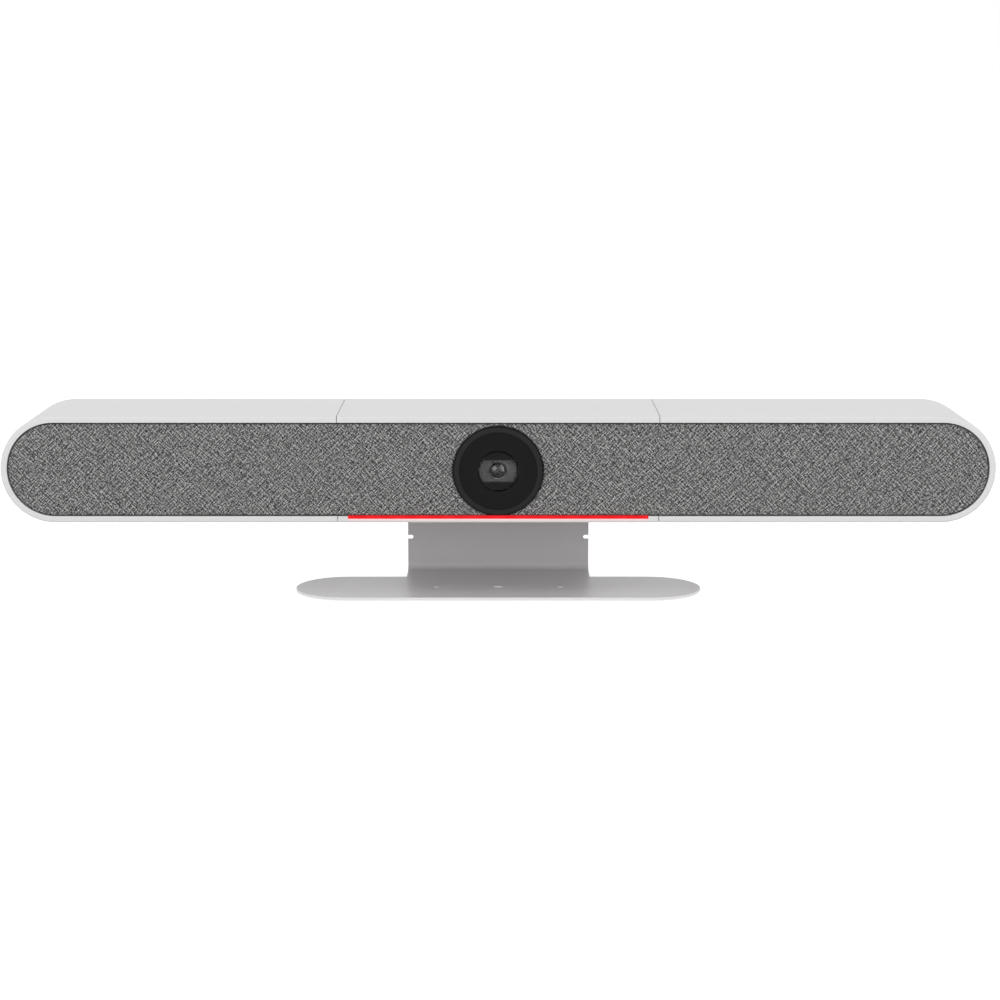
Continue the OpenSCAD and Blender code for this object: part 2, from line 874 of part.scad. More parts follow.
module board_chips() {
    chip_t = 1.4;
    chip_share = [[-0.36, 0.2, 0.1], [-0.2, 0.24, 0.09], [-0.34, -0.22, 0.08], [0.2, 0.24, 0.09],
        [0.3, -0.24, 0.07]];
    color("#2c2e31")
        in_bar()
            for (c = chip_share)
                box([c[0] * main_l, main_y - chip_t, c[1] * main_h], [c[2] * main_l, chip_t, c[2] * main_l]);
}

module board_screws() {
    color("#b8b8ba")
        in_bar()
            for (x = [-1, 1], z = [-1, 1]) {
                disc([x * standoff_x, main_y - board_head_h, z * standoff_z], board_head_r,
                    board_head_h);
                disc([x * standoff_x, main_y - bore_gap, z * standoff_z], screw_r, board_screw_l);
            }
}

module processor() {
    color("#2c2e31")
        in_bar()
            box([0, main_back, 0], [processor_w, processor_t, processor_w]);
}

module thermal_pad() {
    color("#8fa6b4")
        in_bar()
            box([0, main_back + processor_t, 0], [processor_w, pad_t, processor_w]);
}

module heat_sink() {
    color("#a9abae")
        in_bar() {
            box([0, sink_y, 0], [sink_w, sink_base, sink_h]);
            for (i = [0:fin_count - 1])
                box([(sink_w - fin_t) * (i / (fin_count - 1) - 0.5), sink_y + sink_base - bore_gap, 0],
                    [fin_t, sink_d - sink_base, sink_h]);
        }
}

module antennas() {
    color("#1f5c38")
        in_bar()
            for (s = [-1, 1])
                box([s * (half_l - antenna_l), main_y - antenna_w, inner_r - antenna_t / 2],
                    [antenna_l, antenna_w, antenna_t]);
}

// Place of a port on the port board, for a block whose mouth is flush with the panel
module port_block(spec, grow) {
    box([bay_x + spec[0], panel_y - spec[3] - grow, port_floor + spec[2] / 2],
        [spec[1] + 2 * grow, spec[3] + 2 * grow, spec[2] + 2 * grow]);
}

// Mouth of a port, cut to a depth with a wall left at its sides
module port_mouth(spec, w, h, depth) {
    box([bay_x + spec[0], panel_y - depth, port_floor + spec[2] / 2], [w, depth + cut, h]);
}

module port_panel() {
    color("#1f1f20")
        in_bar()
            difference() {
                bay_cut(-fit_gap, panel_in, panel_t);
                for (spec = [power_port, usb_c_spec, usb_a_spec, hdmi_spec, network_spec, audio_spec])
                    port_block(spec, fit_gap);
                disc([bay_x + button_place, panel_in - cut, button_z], button_r + bore_gap,
                    panel_t + 2 * cut);
            }
}

module port_board() {
    color("#1f5c38")
        in_bar()
            box([bay_x, panel_in - port_board_d, port_floor - board_t / 2],
                [port_board_l, port_board_d, board_t]);
}

// Flat cable from the main board's edge to the port board. Its ends reach into the plugs.
module port_ribbon() {
    ribbon_t = 0.3;
    ribbon_h = 6;
    plug_w = 3;
    steps = 12;
    x0 = main_l / 2 - 2 * plug_w;
    x1 = bay_x - port_board_l / 2 + plug_w;
    y0 = main_y - plug_w / 2;
    y1 = panel_in - port_board_d + plug_w / 2;
    path = [for (i = [0:steps]) [x0 + (x1 - x0) * i / steps,
        y0 + (y1 - y0) * (1 - cos(180 * i / steps)) / 2]];
    color("#d8a03a")
        in_bar() {
            box([x0, main_y - plug_w, port_floor + ribbon_h / 2], [2 * plug_w, plug_w, ribbon_h]);
            box([x1, y1 - plug_w / 2, port_floor + ribbon_h / 2], [plug_w, 2 * plug_w, ribbon_h]);
            translate([0, 0, port_floor + ribbon_t])
                linear_extrude(height = ribbon_h - 2 * ribbon_t)
                    polygon(concat([for (p = path) [p[0], p[1] - ribbon_t / 2]],
                        [for (i = [steps:-1:0]) [path[i][0], path[i][1] + ribbon_t / 2]]));
        }
}

module power_jack() {
    axis_z = port_floor + power_port[2] / 2;
    color("#202022")
        in_bar() {
            difference() {
                port_block(power_port, 0);
                disc([bay_x + power_port[0], panel_y - power_bore, axis_z], power_bore_r, power_bore + cut);
            }
            disc([bay_x + power_port[0], panel_y - power_bore - bore_gap, axis_z], power_pin_r,
                power_bore - power_pin_r);
        }
}

// A metal port shell with a tongue inside: share is where the tongue lies on the height
module tongue_port(spec, tongue_w, tongue_l, share) {
    open_h = spec[2] - 2 * port_wall;
    difference() {
        port_block(spec, 0);
        port_mouth(spec, spec[1] - 2 * port_wall, open_h, spec[3] - port_wall);
    }
    box([bay_x + spec[0], panel_y - spec[3] + port_wall - bore_gap,
        port_floor + port_wall + open_h * share], [tongue_w, tongue_l, min(tongue_t, open_h / 4)]);
}

module usb_c_port() {
    color("#b4b6b8")
        in_bar()
            tongue_port(usb_c_spec, usb_c_spec[1] * 0.7, usb_c_spec[3] * 0.7, 0.5);
}

module usb_a_port() {
    color("#b4b6b8")
        in_bar()
            tongue_port(usb_a_spec, usb_a_spec[1] * 0.76, usb_a_spec[3] * 0.7, 0.7);
}

module hdmi_port() {
    color("#b4b6b8")
        in_bar()
            tongue_port(hdmi_spec, hdmi_spec[1] * 0.78, hdmi_spec[3] * 0.65, 0.5);
}

module network_jack() {
    color("#9fa1a4")
        in_bar()
            difference() {
                port_block(network_spec, 0);
                port_mouth(network_spec, network_open_w, network_open_h, network_open_d);
                box([bay_x + network_spec[0], panel_y - network_open_d,
                    port_floor + network_spec[2] / 2 + network_open_h / 2],
                    [latch_w, network_open_d + cut, latch_h]);
            }
}

module audio_jack() {
    color("#202022")
        in_bar()
            difference() {
                port_block(audio_spec, 0);
                disc([bay_x + audio_spec[0], panel_y - audio_bore, port_floor + audio_spec[2] / 2],
                    audio_bore_r, audio_bore + cut);
            }
}

module pairing_button() {
    x = bay_x + button_place;
    flange_y0 = panel_in - button_flange_t - 2 * bore_gap;
    color("#5a5b5e")
        in_bar() {
            disc([x, flange_y0, button_z], button_r, panel_y + button_proud - flange_y0);
            disc([x, flange_y0, button_z], button_flange_r, button_flange_t);
            disc([x, flange_y0 - stem_l, button_z], stem_r, stem_l + bore_gap);
        }
}

module pairing_switch() {
    x = bay_x + button_place;
    front = panel_in - button_flange_t - switch_gap;
    color("#2c2e31")
        in_bar()
            difference() {
                box([x, front - switch_d, port_floor + switch_h / 2], [switch_w, switch_d, switch_h]);
                disc([x, front - stem_l + switch_gap - button_travel - 4 * bore_gap, button_z],
                    stem_r + bore_gap, stem_l);
            }
}

module notch_cut(side) {
    translate([side * neck_w / 2, bar_d - cut, plate_top + notch_z]) {
        translate([-notch_depth + notch_h / 2, 0, -notch_h / 2])
            cube([2 * notch_depth - notch_h, sheet_t + 2 * cut, notch_h]);
        for (s = [-1, 1])
            rearward([s * (notch_depth - notch_h / 2), 0, 0])
                cylinder(r = notch_h / 2, h = sheet_t + 2 * cut);
    }
}

module stand_bracket() {
    bend_y = bar_d - bend_r;
    neck_low = plate_top + bend_r;
    neck_high = bar_z + neck_top;
    color("#b9b7b7")
        translate([0, -y_mid, 0])
            difference() {
                union() {
                    translate([0, plate_y, plate_z])
                        rotate([0, 0, 90])
                            linear_extrude(height = sheet_t)
                                slot_2d(plate_d, plate_l);
                    translate([-neck_w / 2, plate_y, plate_z])
                        cube([neck_w, bend_y - plate_y, sheet_t]);
                    translate([-neck_w / 2, bend_y, neck_low])
                        rotate([0, 90, 0])
                            rotate_extrude(angle = 90)
                                translate([bend_r, 0])
                                    square([sheet_t, neck_w]);
                    translate([0, bar_d + sheet_t, (neck_low + neck_high) / 2])
                        rotate([90, 0, 0])
                            linear_extrude(height = sheet_t)
                                neck_outline(neck_high - neck_low);
                }
                for (s = [-1, 1])
                    notch_cut(s);
                for (x = [-1, 1], z = neck_screw_z)
                    disc([x * neck_screw_x, bar_d - cut, bar_z + z], neck_hole_r, sheet_t + 2 * cut);
                translate([0, plate_y, plate_z - cut])
                    cylinder(d = plate_hole_d, h = sheet_t + 2 * cut);
                for (s = [-1, 1])
                    translate([s * side_hole_gap / 2, plate_y, plate_z - cut])
                        cylinder(d = side_hole_d, h = sheet_t + 2 * cut);
            }
}

// Neck plate with its two top corners rounded
module neck_outline(h) {
    translate([-neck_w / 2, -h / 2])
        square([neck_w, h - neck_corner_r]);
    translate([neck_corner_r - neck_w / 2, -h / 2])
        square([neck_w - 2 * neck_corner_r, h]);
    for (s = [-1, 1])
        translate([s * (neck_w / 2 - neck_corner_r), h / 2 - neck_corner_r])
            circle(r = neck_corner_r);
}

module bracket_screws() {
    color("#8c8c8f")
        in_bar()
            for (x = [-1, 1], z = neck_screw_z)
                difference() {
                    union() {
                        disc([x * neck_screw_x, bar_d + sheet_t, z], head_m4_r, head_m4_h);
                        disc([x * neck_screw_x, bar_d - neck_screw_l + cut, z], shaft_m4_r,
                            neck_screw_l - cut + sheet_t + bore_gap);
                    }
                    rearward([x * neck_screw_x, bar_d + sheet_t + head_m4_h / 3, z])
                        cylinder(r = socket_r, h = head_m4_h, $fn = 6);
                }
}

module rubber_feet() {
    color("#2b2b2b")
        translate([0, -y_mid, 0])
            for (s = [-1, 1], p = foot_places)
                translate([s * p[0], p[1], 0])
                    cylinder(r = foot_r, h = foot_t);
}

center_shell();
left_shell();
right_shell();
grille_frame();
frame_posts();
grille_cloth();
housing_screws();
lens_ring();
lens_baffle();
cover_glass();
front_element();
lens_barrel();
rear_element();
lens_holder();
image_sensor();
sensor_board();
camera_plate();
camera_screws();
camera_ribbon();
light_bar();
light_chips();
light_board();
speaker_gaskets();
speaker_basket_left();
speaker_magnet_left();
speaker_cone_left();
speaker_surround_left();
speaker_spider_left();
speaker_box_left();
speaker_basket_right();
speaker_magnet_right();
speaker_cone_right();
speaker_surround_right();
speaker_spider_right();
speaker_box_right();
microphone_boards();
microphones();
main_board();
board_chips();
board_screws();
processor();
thermal_pad();
heat_sink();
antennas();
port_panel();
port_board();
port_ribbon();
power_jack();
usb_c_port();
usb_a_port();
hdmi_port();
network_jack();
audio_jack();
pairing_button();
pairing_switch();
stand_bracket();
bracket_screws();
rubber_feet();
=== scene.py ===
"""The looks of a conference camera bar: round-ended white shell, heathered grey cloth, black lens
ring, red light line and a bent silver-grey sheet-metal stand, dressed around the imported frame."""
import json
import math

import bpy
import numpy as np
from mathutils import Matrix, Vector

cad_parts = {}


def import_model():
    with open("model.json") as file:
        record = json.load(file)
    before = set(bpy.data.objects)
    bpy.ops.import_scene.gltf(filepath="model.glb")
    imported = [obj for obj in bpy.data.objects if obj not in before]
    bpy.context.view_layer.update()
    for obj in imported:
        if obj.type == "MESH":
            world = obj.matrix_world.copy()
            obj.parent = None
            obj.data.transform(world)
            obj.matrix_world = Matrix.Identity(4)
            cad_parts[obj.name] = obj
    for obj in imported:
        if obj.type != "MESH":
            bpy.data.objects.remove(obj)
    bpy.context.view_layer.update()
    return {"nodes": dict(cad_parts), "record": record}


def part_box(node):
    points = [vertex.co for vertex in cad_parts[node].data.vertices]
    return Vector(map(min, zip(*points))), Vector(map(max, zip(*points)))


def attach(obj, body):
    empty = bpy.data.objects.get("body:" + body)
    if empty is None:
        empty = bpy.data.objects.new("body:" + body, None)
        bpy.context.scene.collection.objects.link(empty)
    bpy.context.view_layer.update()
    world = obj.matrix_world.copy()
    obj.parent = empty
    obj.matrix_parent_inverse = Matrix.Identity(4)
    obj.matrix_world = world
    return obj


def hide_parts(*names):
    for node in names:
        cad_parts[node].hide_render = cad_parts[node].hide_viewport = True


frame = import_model()
nodes = frame["nodes"]

MM = 0.001


def corners(node):
    """A CAD node's lowest and highest corners."""
    return [np.array(corner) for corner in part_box(node)]


# Places read from the frame
shell_low, shell_high = corners("center_shell")
cloth_low, cloth_high = corners("grille_cloth")
glass_low, glass_high = corners("cover_glass")
ring_low, ring_high = corners("lens_ring")
light_low, light_high = corners("light_bar")
plate_bottom = corners("stand_bracket")[0][2]
FRONT_Y = shell_low[1]
AXIS_Z = (shell_low[2] + shell_high[2]) / 2
LENS_Z = (glass_low[2] + glass_high[2]) / 2
RING_R = (ring_high[0] - ring_low[0]) / 2
CLOTH_R = (cloth_high[2] - cloth_low[2]) / 2
CLOTH_HALF = cloth_high[0] - CLOTH_R

# The cloth: the radius of its turn over the frame's edge, its thickness, its hole, which ends
# under the lens ring, what its cut has beyond the face on every side, and the width of its threads
CLOTH_ROLL = 0.9 * MM
CLOTH_THICKNESS = 0.6 * MM
CLOTH_HOLE_R = RING_R - 3.6 * MM
THREAD = 0.64 * MM


# Meshes

def ringed_surface(name, rings):
    """Mesh of a grid of points rings[i, j]. Quads join each point to the next one on its ring, the
    last to the first too, and to the ring after."""
    count, per_ring = rings.shape[:2]
    index = np.arange(count * per_ring).reshape(count, per_ring)
    here, below = index[:-1], index[1:]
    quads = np.stack([here, below, np.roll(below, -1, axis=1), np.roll(here, -1, axis=1)], axis=-1)
    mesh = bpy.data.meshes.new(name)
    mesh.from_pydata(rings.reshape(-1, 3).tolist(), [], quads.reshape(-1, 4).tolist())
    mesh.polygons.foreach_set("use_smooth", np.ones(len(mesh.polygons), dtype=bool))
    mesh.update()
    piece = bpy.data.objects.new(name, mesh)
    bpy.context.scene.collection.objects.link(piece)
    return piece


def stadium(half, radius, count):
    """Points spaced evenly round a stadium, straight runs of 2 * half joined by half circles of
    radius. Each is given as the x of its centre on the long axis and its turn, which is 0 on the
    upper run, grows to pi round one end, and on to 2 pi round the other. An outline of the same
    half and another radius has matching points."""
    run, bend = 2 * half, math.pi * radius
    along = (np.arange(count) + 0.5) / count * 2 * (run + bend)
    legs = [along < run, along < run + bend, along < 2 * run + bend]
    still = np.zeros(count)
    turn = np.select(legs, [still, (along - run) / radius, still + math.pi],
                     math.pi + (along - 2 * run - bend) / radius)
    x = np.select(legs, [half - along, still - half, along - run - bend - half], half)
    return x, turn


def outline(x, turn, radius):
    """The stadium's points at a radius, as x and height over its axis."""
    return np.stack([x - radius * np.sin(turn), radius * np.cos(turn)], axis=-1)


def speaker_cloth():
    """Cloth stretched over the front frame: flat from the lens hole to the edge roll, round the
    roll by a quarter circle, then back along the rim as a skirt. The flat part runs straight from
    a hole point to the outline point at the same angle round the lens."""
    per_ring, face_rings, roll_rings, skirt_rings = 960, 14, 6, 3
    front_y, back_y = cloth_low[1], cloth_high[1]
    x, turn = stadium(CLOTH_HALF, CLOTH_R, per_ring)
    flat_edge = outline(x, turn, CLOTH_R - CLOTH_ROLL)
    angle = np.arctan2(flat_edge[:, 1] + AXIS_Z - LENS_Z, flat_edge[:, 0])
    hole = np.stack([CLOTH_HOLE_R * np.cos(angle),
                     CLOTH_HOLE_R * np.sin(angle) + LENS_Z - AXIS_Z], axis=-1)

    def ring(at, depth):
        """Points of an outline, at one depth."""
        return np.stack([at[:, 0], np.full(per_ring, depth), at[:, 1] + AXIS_Z], axis=-1)

    rings = [ring(hole + (flat_edge - hole) * share, front_y)
             for share in np.linspace(0, 1, face_rings)]
    rings += [ring(outline(x, turn, CLOTH_R - CLOTH_ROLL + CLOTH_ROLL * math.sin(bend)),
                   front_y + CLOTH_ROLL * (1 - math.cos(bend)))
              for bend in np.linspace(0, math.pi / 2, roll_rings + 1)[1:]]
    rings += [ring(outline(x, turn, CLOTH_R), depth)
              for depth in np.linspace(front_y + CLOTH_ROLL, back_y, skirt_rings + 1)[1:]]
    piece = ringed_surface("speaker_cloth", np.array(rings))
    thick = piece.modifiers.new("thickness", "SOLIDIFY")
    thick.thickness = CLOTH_THICKNESS
    thick.offset = -1
    return piece


# Nodes

# Where a Mix node that is set to colours takes its two colours, and where it gives the result
COLOUR_A, COLOUR_B, COLOUR_OUT = 6, 7, 2


def put(tree, kind, values=None, links=None, **settings):
    """Adds a node to a tree, sets its properties and input values, and links its inputs."""
    node = tree.nodes.new(kind)
    for key, value in settings.items():
        setattr(node, key, value)
    for key, value in (values or {}).items():
        node.inputs[key].default_value = value
    for key, socket in (links or {}).items():
        tree.links.new(socket, node.inputs[key])
    return node


def feed(tree, socket, value):
    """Gives an input a number, a colour or the output of another node."""
    if isinstance(value, bpy.types.NodeSocket):
        tree.links.new(value, socket)
    elif isinstance(value, tuple):
        socket.default_value = (*value, 1)
    else:
        socket.default_value = value


def math_node(tree, operation, *terms):
    """A Math node whose terms are numbers or sockets. Returns its output socket."""
    node = put(tree, "ShaderNodeMath", operation=operation)
    for socket, term in zip(node.inputs, terms):
        feed(tree, socket, term)
    return node.outputs[0]


def mix_colours(tree, factor, first, second, blend_type="MIX"):
    """First colour to second colour by a factor. Each may be a socket. Returns the colour."""
    node = put(tree, "ShaderNodeMix", data_type="RGBA", blend_type=blend_type)
    for key, value in (("Factor", factor), (COLOUR_A, first), (COLOUR_B, second)):
        feed(tree, node.inputs[key], value)
    return node.outputs[COLOUR_OUT]


def spread(tree, value, low, high, from_low=0.3, from_high=0.7, **settings):
    """A value mapped from one span to another. A noise stays mostly between 0.3 and 0.7."""
    span = {"From Min": from_low, "From Max": from_high, "To Min": low, "To Max": high}
    return put(tree, "ShaderNodeMapRange", span, {"Value": value}, **settings).outputs[0]


def grey(level):
    """A neutral colour."""
    return (level, level, level)


def ramp_of(tree, value, stops):
    """Colour ramp through (place, colour) stops."""
    node = put(tree, "ShaderNodeValToRGB", links={"Fac": value})
    while len(node.color_ramp.elements) < len(stops):
        node.color_ramp.elements.new(0.5)
    for element, (position, colour) in zip(node.color_ramp.elements, stops):
        element.position = position
        element.color = (*colour, 1)
    return node.outputs[0]


def axes_of(tree, place):
    """X, Y and Z of Object coordinates."""
    return put(tree, "ShaderNodeSeparateXYZ", links={"Vector": place}).outputs


def from_lens(tree, place):
    """Distance from the lens axis, in shares of the ring's radius."""
    where = put(tree, "ShaderNodeMapping",
                {"Location": (0, 0, -LENS_Z / RING_R), "Scale": (1 / RING_R, 0, 1 / RING_R)},
                {"Vector": place})
    length = put(tree, "ShaderNodeVectorMath", links={0: where.outputs[0]}, operation="LENGTH")
    return length.outputs["Value"]


def tones_from_lens(tree, place, tones):
    """Greys that follow the distance from the lens axis, given as (mm from the axis, grey)."""
    stops = [(distance * MM / RING_R, grey(tone)) for distance, tone in tones]
    return ramp_of(tree, from_lens(tree, place), stops)


def bump(tree, height, shader, distance, strength=1.0):
    """A Bump node of the given depth from a height, into the shader's normal."""
    node = put(tree, "ShaderNodeBump", {"Strength": strength, "Distance": distance},
               {"Height": height})
    tree.links.new(node.outputs[0], shader.inputs["Normal"])


# Effects that several materials share

def new_group(name, inputs, outputs):
    """An empty shader node group with float or vector inputs and float outputs."""
    group = bpy.data.node_groups.new(name, "ShaderNodeTree")
    for label, kind in inputs:
        group.interface.new_socket(label, in_out="INPUT", socket_type=kind)
    for label in outputs:
        group.interface.new_socket(label, in_out="OUTPUT", socket_type="NodeSocketFloat")
    return group, group.nodes.new("NodeGroupInput"), group.nodes.new("NodeGroupOutput")


def make_grain_group():
    """Moulded or sprayed grain: Height is a fine noise of the given size, Mottle a slow drift, and
    Wear a few fine marks, stretched along one slanting direction."""
    drift_scale, mark_scale, mark_slant = 22.0, (30.0, 260.0, 420.0), (0.3, 0.2, 0.9)
    faintest_mark, full_mark = 0.66, 0.78
    group, source, result = new_group(
        "surface_grain", [("Vector", "NodeSocketVector"), ("Size", "NodeSocketFloat")],
        ["Height", "Mottle", "Wear"])
    place = source.outputs["Vector"]
    scale = math_node(group, "DIVIDE", 1.0, source.outputs["Size"])
    fine = put(group, "ShaderNodeTexNoise", {"Detail": 3.0, "Roughness": 0.6},
               {"Vector": place, "Scale": scale})
    slow = put(group, "ShaderNodeTexNoise",
               {"Scale": drift_scale, "Detail": 4.0, "Roughness": 0.55}, {"Vector": place})
    stretched = put(group, "ShaderNodeMapping", {"Scale": mark_scale, "Rotation": mark_slant},
                    {"Vector": place})
    marks = put(group, "ShaderNodeTexNoise", {"Scale": 1.0, "Detail": 2.0},
                {"Vector": stretched.outputs[0]})
    wear = spread(group, marks.outputs[0], 0.0, 1.0, faintest_mark, full_mark)
    group.links.new(fine.outputs[0], result.inputs["Height"])
    group.links.new(slow.outputs[0], result.inputs["Mottle"])
    group.links.new(wear, result.inputs["Wear"])
    return group


def make_weave_group():
    """Plain weave turned 45 degrees in the X-Z plane. Each warp and weft thread has its own shade,
    which drifts along it and differs from its neighbour's, so the cloth looks heathered. Height is
    the thread that lies on top. Tone is mostly its shade, with some of the thread under it and of
    the fibres' own fuzz."""
    lean = math.radians(45)
    warp_seed, weft_seed = 3.7, 51.3
    thread_apart, drift_along = 5.31, 0.1
    middle_tone, own_shade, neighbour_shade = 0.4, 1.0, -0.8
    roundness, thread_height, lift = math.pi * 0.92, 0.8, 0.5
    under_share, top_share = 0.3, 0.4
    fibre_size, fuzziness = 0.42 * MM, 0.4
    group, source, result = new_group(
        "diagonal_weave", [("Vector", "NodeSocketVector"), ("Pitch", "NodeSocketFloat")],
        ["Tone", "Height"])
    turned = put(group, "ShaderNodeVectorRotate", {"Angle": lean},
                 {"Vector": source.outputs["Vector"]}, rotation_type="Y_AXIS")
    split = axes_of(group, turned.outputs[0])
    warp = math_node(group, "DIVIDE", split["X"], source.outputs["Pitch"])
    weft = math_node(group, "DIVIDE", split["Z"], source.outputs["Pitch"])
    warp_number = math_node(group, "FLOOR", warp)
    weft_number = math_node(group, "FLOOR", weft)
    threads = []
    for across, along, number, seed in ((warp, weft, warp_number, warp_seed),
                                        (weft, warp, weft_number, weft_seed)):
        offset = math_node(group, "SUBTRACT", math_node(group, "FRACT", across), 0.5)
        profile = math_node(group, "COSINE", math_node(group, "MULTIPLY", offset, roundness))
        tone = middle_tone
        for step, weight in ((0, own_shade), (1, neighbour_shade)):
            drift = put(group, "ShaderNodeCombineXYZ", {"Z": seed}, {
                "X": math_node(group, "MULTIPLY_ADD", number, thread_apart, step * thread_apart),
                "Y": math_node(group, "MULTIPLY", along, drift_along)})
            shade = put(group, "ShaderNodeTexNoise",
                        {"Scale": 1.0, "Detail": 3.0, "Roughness": 0.85},
                        {"Vector": drift.outputs[0]})
            tone = math_node(group, "MULTIPLY_ADD", shade.outputs[0], weight, tone)
        threads.append((math_node(group, "MULTIPLY", profile, thread_height), tone))
    (warp_profile, warp_tone), (weft_profile, weft_tone) = threads
    crossing = math_node(group, "ADD", warp_number, weft_number)
    parity = math_node(group, "PINGPONG", crossing, 1.0)
    other = math_node(group, "SUBTRACT", 1.0, parity)
    warp_height = math_node(group, "MULTIPLY_ADD", parity, lift, warp_profile)
    weft_height = math_node(group, "MULTIPLY_ADD", other, lift, weft_profile)
    warp_on_top = math_node(group, "GREATER_THAN", warp_height, weft_height)
    share = math_node(group, "MULTIPLY_ADD", warp_on_top, top_share, under_share)
    tone = put(group, "ShaderNodeMix", links={"Factor": share, "A": weft_tone, "B": warp_tone})
    fibre = put(group, "ShaderNodeTexNoise", {"Scale": 1 / fibre_size, "Detail": 1.0},
                {"Vector": source.outputs["Vector"]})
    fuzz = math_node(group, "MULTIPLY_ADD", fibre.outputs[0], fuzziness, -fuzziness / 2)
    group.links.new(math_node(group, "ADD", tone.outputs[0], fuzz), result.inputs["Tone"])
    group.links.new(math_node(group, "MAXIMUM", warp_height, weft_height),
                    result.inputs["Height"])
    return group


GRAIN = make_grain_group()
WEAVE = make_weave_group()


# Materials

def start(name):
    """A material with its tree, its Principled shader and Object coordinates."""
    material = bpy.data.materials.new(name)
    material.use_nodes = True
    tree = material.node_tree
    place = put(tree, "ShaderNodeTexCoord").outputs["Object"]
    return material, tree, tree.nodes["Principled BSDF"], place


def place_group(tree, group, values, place):
    """One of the shared effects in a material's tree, fed with Object coordinates. Returns its
    outputs."""
    node = put(tree, "ShaderNodeGroup", node_tree=group)
    tree.links.new(place, node.inputs["Vector"])
    for key, value in values.items():
        node.inputs[key].default_value = value
    return node.outputs


def grained(name, colour, roughness, size=0.35 * MM, depth=0.02 * MM, tint=0.06, specular=0.5,
            metallic=0.0, wear=0.08):
    """A moulded, sprayed or cast finish: fine grain in the normal, a slow drift in colour and
    gloss, and fine marks that are a little glossier."""
    material, tree, shader, place = start(name)
    grain = place_group(tree, GRAIN, {"Size": size}, place)
    low = tuple(c * (1 - tint) for c in colour)
    high = tuple(min(1, c * (1 + tint)) for c in colour)
    tree.links.new(mix_colours(tree, grain["Mottle"], low, high), shader.inputs["Base Color"])
    drift = spread(tree, grain["Mottle"], roughness * 0.9, roughness * 1.1)
    tree.links.new(math_node(tree, "MULTIPLY_ADD", grain["Wear"], -wear, drift),
                   shader.inputs["Roughness"])
    bump(tree, grain["Height"], shader, depth)
    shader.inputs["Specular IOR Level"].default_value = specular
    shader.inputs["Metallic"].default_value = metallic
    return material, tree, shader, place


def plain(name, colour, roughness, **more):
    """A grained finish, as the material alone."""
    return grained(name, colour, roughness, **more)[0]


def shell_white(name, lit=False):
    """Satin white plastic. The middle shell also gets a painted red glow beside the light line,
    standing in for the line's light on its wall: the glow fades with the distance from the line."""
    material, tree, shader, place = grained(name, (0.77, 0.77, 0.766), 0.42, tint=0.012,
                                            depth=0.012 * MM)
    if lit:
        # Painted glow: emission on the shell that stands in for the light line's red light on it
        painted_glow_colour, painted_glow_strength, painted_glow_reach = (1, 0.04, 0.06), 0.3, 2.6 * MM
        line_middle, wall = light_low[2] + 0.4 * MM, 1.2 * MM
        axes = axes_of(tree, place)
        away = math_node(tree, "ABSOLUTE", math_node(tree, "SUBTRACT", line_middle, axes["Z"]))
        painted_glow_fade = spread(tree, away, painted_glow_strength, 0.0, 0.0, painted_glow_reach,
                      interpolation_type="SMOOTHSTEP")
        beside = math_node(tree, "LESS_THAN", math_node(tree, "ABSOLUTE", axes["X"]),
                           light_high[0])
        front = math_node(tree, "LESS_THAN", axes["Y"], FRONT_Y + wall)
        glow = math_node(tree, "MULTIPLY", math_node(tree, "MULTIPLY", painted_glow_fade, beside), front)
        tree.links.new(mix_colours(tree, glow, (0, 0, 0), painted_glow_colour),
                       shader.inputs["Emission Color"])
        shader.inputs["Emission Strength"].default_value = 1.0
    return material


def heathered_cloth():
    """Plain-woven polyester, laid on the bias, in threads of mixed greys. Painted shade darkens it
    between the threads, in a band just outside the lens ring that stands in for the ring's shadow,
    and where it turns over the frame's edge."""
    material, tree, shader, place = start("heathered_cloth")
    weave = place_group(tree, WEAVE, {"Pitch": THREAD}, place)
    threads = ramp_of(tree, weave["Tone"], [
        (0.363, grey(0.012)), (0.5, (0.149, 0.149, 0.148)), (0.637, (0.64, 0.64, 0.63))])
    # Painted shade between the threads: darker where the weave lies low
    painted_thread_shade = mix_colours(tree, spread(tree, weave["Height"], 0.0, 1.0, 0.35, 1.0),
                         grey(0.35), grey(1.0))
    # Painted shadow of the lens ring on the cloth, on half the distance from the lens, so that the
    # ring's rim is in the middle of the ramp
    painted_ring_shadow = ramp_of(tree, math_node(tree, "MULTIPLY", from_lens(tree, place), 0.5), [
        (0.5, grey(0.2)), (0.508, grey(0.35)), (0.516, grey(1.0))])
    # Painted shade where the cloth turns over the frame's edge: darker towards its outline
    axes = axes_of(tree, place)
    past_run = math_node(tree, "SUBTRACT", math_node(tree, "ABSOLUTE", axes["X"]), CLOTH_HALF)
    beyond = math_node(tree, "MAXIMUM", past_run, 0.0)
    rise = math_node(tree, "SUBTRACT", axes["Z"], AXIS_Z)
    squares = math_node(tree, "ADD", math_node(tree, "MULTIPLY", beyond, beyond),
                        math_node(tree, "MULTIPLY", rise, rise))
    out = math_node(tree, "DIVIDE", math_node(tree, "SQRT", squares), CLOTH_R)
    painted_edge_shade_and_light = ramp_of(tree, out, [(0.965, grey(1.0)), (0.985, grey(0.35))])
    colour = threads
    for shade in (painted_thread_shade, painted_ring_shadow, painted_edge_shade_and_light):
        colour = mix_colours(tree, 1.0, colour, shade, blend_type="MULTIPLY")
    tree.links.new(colour, shader.inputs["Base Color"])
    tree.links.new(spread(tree, weave["Tone"], 0.95, 0.8), shader.inputs["Roughness"])
    shader.inputs["Specular IOR Level"].default_value = 0.2
    shader.inputs["Sheen Weight"].default_value = 0.1
    bump(tree, weave["Height"], shader, 0.25 * MM, 0.7)
    return material


